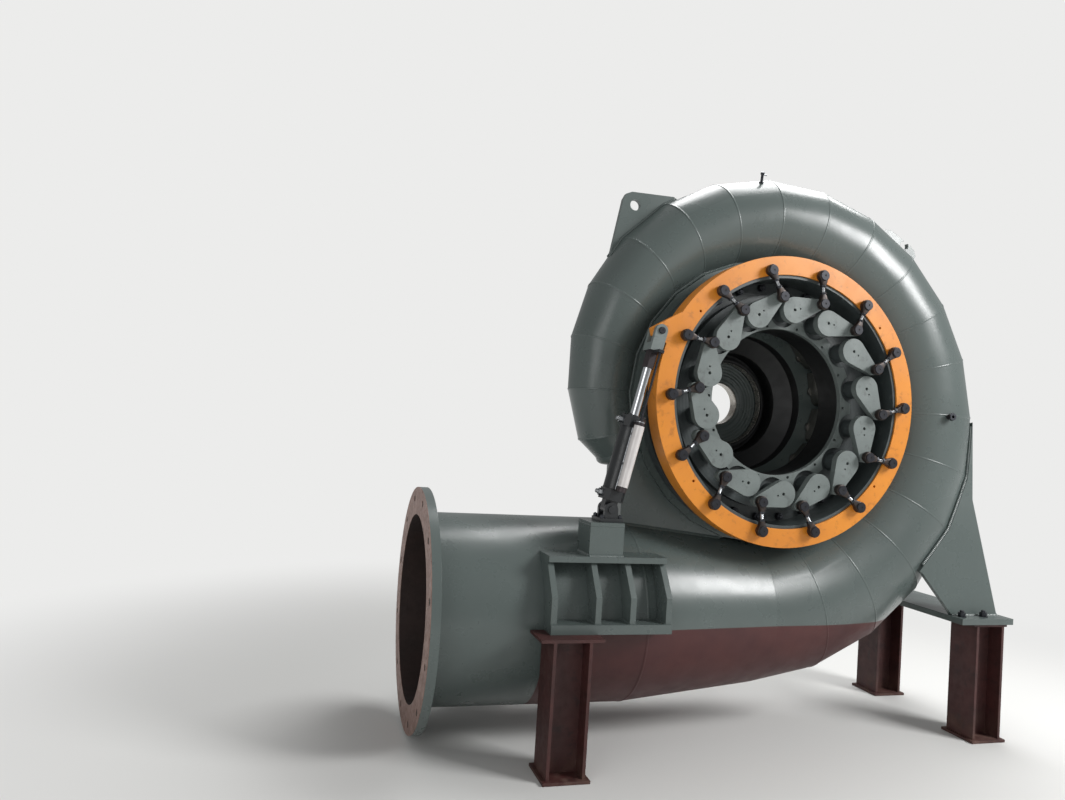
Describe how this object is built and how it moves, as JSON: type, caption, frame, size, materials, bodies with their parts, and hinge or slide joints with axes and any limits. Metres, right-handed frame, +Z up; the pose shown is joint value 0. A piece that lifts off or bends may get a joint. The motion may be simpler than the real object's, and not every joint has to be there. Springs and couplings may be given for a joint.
{
  "type": "francis turbine",
  "caption": "Horizontal-shaft Francis turbine: welded spiral case, guide-vane gear with links, operating ring and servomotor.",
  "frame": {"origin": "on the floor, under the middle of the whole part", "axes": "+X runs along the inlet pipe towards the spiral, +Y from the gate-gear side to the back along the shaft, +Z up"},
  "size_m": [2.84, 1.182, 2.6549],
  "materials": {
    "ring_orange": "semi-gloss orange paint",
    "rod_steel": "hard chrome",
    "cylinder_black": "satin black paint",
    "sensor_grey": "anodised tube",
    "link_steel": "blackened forged steel",
    "arm_grey": "matte grey-green paint",
    "primer_brown": "matte red-brown primer",
    "flange_bare": "bare machined steel with light rust",
    "seal_steel": "turned steel",
    "cover_grey": "grey-green paint",
    "case_grey": "semi-gloss grey-green paint"
  },
  "bodies": {
    "casing": {"inlet_flange": "flange_bare", "inlet_pipe": "case_grey", "inlet_cone": "case_grey", "spiral_lower": "case_grey", "spiral_right": "case_grey", "spiral_upper_right": "case_grey", "spiral_upper_left": "case_grey", "spiral_tail": "case_grey", "stay_ring": "cover_grey", "crotch_plates": "cover_grey", "front_cover": "cover_grey", "bore_ring": "case_grey", "ring_seat": "case_grey", "rear_cover": "cover_grey", "seal_ring": "seal_steel", "lifting_lugs": "case_grey", "taps": "case_grey", "right_leg": "case_grey", "servo_bracket": "case_grey", "rear_bracket": "case_grey", "servo_pedestal": "case_grey", "servo_pivot": "cylinder_black", "posts_left": "primer_brown", "posts_right": "primer_brown"},
    "ring": {"operating_ring": "ring_orange"},
    "cylinder": {"servo_cylinder": "cylinder_black", "servo_sensor": "sensor_grey"},
    "rod": {"servo_rod": "rod_steel"},
    "gate_01_body": {"gate_01": "arm_grey"},
    "gate_02_body": {"gate_02": "arm_grey"},
    "gate_03_body": {"gate_03": "arm_grey"},
    "gate_04_body": {"gate_04": "arm_grey"},
    "gate_05_body": {"gate_05": "arm_grey"},
    "gate_06_body": {"gate_06": "arm_grey"},
    "gate_07_body": {"gate_07": "arm_grey"},
    "gate_08_body": {"gate_08": "arm_grey"},
    "gate_09_body": {"gate_09": "arm_grey"},
    "gate_10_body": {"gate_10": "arm_grey"},
    "gate_11_body": {"gate_11": "arm_grey"},
    "gate_12_body": {"gate_12": "arm_grey"},
    "gate_13_body": {"gate_13": "arm_grey"},
    "gate_14_body": {"gate_14": "arm_grey"},
    "link_01_body": {"link_01": "link_steel"},
    "link_02_body": {"link_02": "link_steel"},
    "link_03_body": {"link_03": "link_steel"},
    "link_04_body": {"link_04": "link_steel"},
    "link_05_body": {"link_05": "link_steel"},
    "link_06_body": {"link_06": "link_steel"},
    "link_07_body": {"link_07": "link_steel"},
    "link_08_body": {"link_08": "link_steel"},
    "link_09_body": {"link_09": "link_steel"},
    "link_10_body": {"link_10": "link_steel"},
    "link_11_body": {"link_11": "link_steel"},
    "link_12_body": {"link_12": "link_steel"},
    "link_13_body": {"link_13": "link_steel"},
    "link_14_body": {"link_14": "link_steel"}
  },
  "joints": [
    {"name": "ring_turn", "type": "hinge", "parent": "casing", "child": "ring", "pos_m": [0.175, -0.305, 1.545], "axis": [0, 1, 0], "range_deg": [-10, 1]},
    {"name": "servo_swing", "type": "hinge", "parent": "casing", "child": "cylinder", "pos_m": [-0.668, -0.331, 1.03089], "axis": [0, 1, 0], "range_deg": [-3, 3]},
    {"name": "rod_slide", "type": "slide", "parent": "cylinder", "child": "rod", "axis": [0.2289, 0, 0.9735], "range_m": [-0.13, 0.02]},
    {"name": "gate_01_turn", "type": "hinge", "parent": "casing", "child": "gate_01_body", "pos_m": [-0.00274, -0.343, 1.92443], "axis": [0, 1, 0], "range_deg": [-22.2, 3.1]},
    {"name": "link_01_swing", "type": "hinge", "parent": "ring", "child": "link_01_body", "pos_m": [0.03283, -0.37, 2.1238], "axis": [0, 1, 0], "range_deg": [-30.6, 4]},
    {"name": "gate_02_turn", "type": "hinge", "parent": "casing", "child": "gate_02_body", "pos_m": [0.17949, -0.343, 1.96398], "axis": [0, 1, 0], "range_deg": [-22.2, 3.1]},
    {"name": "link_02_swing", "type": "hinge", "parent": "ring", "child": "link_02_body", "pos_m": [0.29804, -0.37, 2.12816], "axis": [0, 1, 0], "range_deg": [-30.6, 4]},
    {"name": "gate_03_turn", "type": "hinge", "parent": "casing", "child": "gate_03_body", "pos_m": [0.36083, -0.343, 1.92054], "axis": [0, 1, 0], "range_deg": [-22.2, 3.1]},
    {"name": "link_03_swing", "type": "hinge", "parent": "ring", "child": "link_03_body", "pos_m": [0.53888, -0.37, 2.01702], "axis": [0, 1, 0], "range_deg": [-30.6, 4]},
    {"name": "gate_04_turn", "type": "hinge", "parent": "casing", "child": "gate_04_body", "pos_m": [0.50537, -0.343, 1.80272], "axis": [0, 1, 0], "range_deg": [-22.2, 3.1]},
    {"name": "link_04_swing", "type": "hinge", "parent": "ring", "child": "link_04_body", "pos_m": [0.70765, -0.37, 1.8124], "axis": [0, 1, 0], "range_deg": [-30.6, 4]},
    {"name": "gate_05_turn", "type": "hinge", "parent": "casing", "child": "gate_05_body", "pos_m": [0.58447, -0.343, 1.63385], "axis": [0, 1, 0], "range_deg": [-22.2, 3.1]},
    {"name": "link_05_swing", "type": "hinge", "parent": "ring", "child": "link_05_body", "pos_m": [0.77092, -0.37, 1.55481], "axis": [0, 1, 0], "range_deg": [-30.6, 4]},
    {"name": "gate_06_turn", "type": "hinge", "parent": "casing", "child": "gate_06_body", "pos_m": [0.58247, -0.343, 1.44739], "axis": [0, 1, 0], "range_deg": [-22.2, 3.1]},
    {"name": "link_06_swing", "type": "hinge", "parent": "ring", "child": "link_06_body", "pos_m": [0.71616, -0.37, 1.29528], "axis": [0, 1, 0], "range_deg": [-30.6, 4]},
    {"name": "gate_07_turn", "type": "hinge", "parent": "casing", "child": "gate_07_body", "pos_m": [0.49977, -0.343, 1.28026], "axis": [0, 1, 0], "range_deg": [-22.2, 3.1]},
    {"name": "link_07_swing", "type": "hinge", "parent": "ring", "child": "link_07_body", "pos_m": [0.55422, -0.37, 1.08521], "axis": [0, 1, 0], "range_deg": [-30.6, 4]},
    {"name": "gate_08_turn", "type": "hinge", "parent": "casing", "child": "gate_08_body", "pos_m": [0.35274, -0.343, 1.16557], "axis": [0, 1, 0], "range_deg": [-22.2, 3.1]},
    {"name": "link_08_swing", "type": "hinge", "parent": "ring", "child": "link_08_body", "pos_m": [0.31717, -0.37, 0.9662], "axis": [0, 1, 0], "range_deg": [-30.6, 4]},
    {"name": "gate_09_turn", "type": "hinge", "parent": "casing", "child": "gate_09_body", "pos_m": [0.17051, -0.343, 1.12602], "axis": [0, 1, 0], "range_deg": [-22.2, 3.1]},
    {"name": "link_09_swing", "type": "hinge", "parent": "ring", "child": "link_09_body", "pos_m": [0.05196, -0.37, 0.96184], "axis": [0, 1, 0], "range_deg": [-30.6, 4]},
    {"name": "gate_10_turn", "type": "hinge", "parent": "casing", "child": "gate_10_body", "pos_m": [-0.01083, -0.343, 1.16946], "axis": [0, 1, 0], "range_deg": [-22.2, 3.1]},
    {"name": "link_10_swing", "type": "hinge", "parent": "ring", "child": "link_10_body", "pos_m": [-0.18888, -0.37, 1.07298], "axis": [0, 1, 0], "range_deg": [-30.6, 4]},
    {"name": "gate_11_turn", "type": "hinge", "parent": "casing", "child": "gate_11_body", "pos_m": [-0.15537, -0.343, 1.28728], "axis": [0, 1, 0], "range_deg": [-22.2, 3.1]},
    {"name": "link_11_swing", "type": "hinge", "parent": "ring", "child": "link_11_body", "pos_m": [-0.35765, -0.37, 1.2776], "axis": [0, 1, 0], "range_deg": [-30.6, 4]},
    {"name": "gate_12_turn", "type": "hinge", "parent": "casing", "child": "gate_12_body", "pos_m": [-0.23447, -0.343, 1.45615], "axis": [0, 1, 0], "range_deg": [-22.2, 3.1]},
    {"name": "link_12_swing", "type": "hinge", "parent": "ring", "child": "link_12_body", "pos_m": [-0.42092, -0.37, 1.53519], "axis": [0, 1, 0], "range_deg": [-30.6, 4]},
    {"name": "gate_13_turn", "type": "hinge", "parent": "casing", "child": "gate_13_body", "pos_m": [-0.23247, -0.343, 1.64261], "axis": [0, 1, 0], "range_deg": [-22.2, 3.1]},
    {"name": "link_13_swing", "type": "hinge", "parent": "ring", "child": "link_13_body", "pos_m": [-0.36616, -0.37, 1.79472], "axis": [0, 1, 0], "range_deg": [-30.6, 4]},
    {"name": "gate_14_turn", "type": "hinge", "parent": "casing", "child": "gate_14_body", "pos_m": [-0.14977, -0.343, 1.80974], "axis": [0, 1, 0], "range_deg": [-22.2, 3.1]},
    {"name": "link_14_swing", "type": "hinge", "parent": "ring", "child": "link_14_body", "pos_m": [-0.20422, -0.37, 2.00479], "axis": [0, 1, 0], "range_deg": [-30.6, 4]}
  ],
  "couplings": [
    {"joint": "servo_swing", "follows": "ring_turn", "ratio": 0.0703},
    {"joint": "rod_slide", "follows": "ring_turn", "m_per_rad": 0.7073},
    {"joint": "gate_01_turn", "follows": "ring_turn", "ratio": 2.125},
    {"joint": "link_01_swing", "follows": "ring_turn", "ratio": 2.956},
    {"joint": "gate_02_turn", "follows": "ring_turn", "ratio": 2.125},
    {"joint": "link_02_swing", "follows": "ring_turn", "ratio": 2.956},
    {"joint": "gate_03_turn", "follows": "ring_turn", "ratio": 2.125},
    {"joint": "link_03_swing", "follows": "ring_turn", "ratio": 2.956},
    {"joint": "gate_04_turn", "follows": "ring_turn", "ratio": 2.125},
    {"joint": "link_04_swing", "follows": "ring_turn", "ratio": 2.956},
    {"joint": "gate_05_turn", "follows": "ring_turn", "ratio": 2.125},
    {"joint": "link_05_swing", "follows": "ring_turn", "ratio": 2.956},
    {"joint": "gate_06_turn", "follows": "ring_turn", "ratio": 2.125},
    {"joint": "link_06_swing", "follows": "ring_turn", "ratio": 2.956},
    {"joint": "gate_07_turn", "follows": "ring_turn", "ratio": 2.125},
    {"joint": "link_07_swing", "follows": "ring_turn", "ratio": 2.956},
    {"joint": "gate_08_turn", "follows": "ring_turn", "ratio": 2.125},
    {"joint": "link_08_swing", "follows": "ring_turn", "ratio": 2.956},
    {"joint": "gate_09_turn", "follows": "ring_turn", "ratio": 2.125},
    {"joint": "link_09_swing", "follows": "ring_turn", "ratio": 2.956},
    {"joint": "gate_10_turn", "follows": "ring_turn", "ratio": 2.125},
    {"joint": "link_10_swing", "follows": "ring_turn", "ratio": 2.956},
    {"joint": "gate_11_turn", "follows": "ring_turn", "ratio": 2.125},
    {"joint": "link_11_swing", "follows": "ring_turn", "ratio": 2.956},
    {"joint": "gate_12_turn", "follows": "ring_turn", "ratio": 2.125},
    {"joint": "link_12_swing", "follows": "ring_turn", "ratio": 2.956},
    {"joint": "gate_13_turn", "follows": "ring_turn", "ratio": 2.125},
    {"joint": "link_13_swing", "follows": "ring_turn", "ratio": 2.956},
    {"joint": "gate_14_turn", "follows": "ring_turn", "ratio": 2.125},
    {"joint": "link_14_swing", "follows": "ring_turn", "ratio": 2.956}
  ]
}
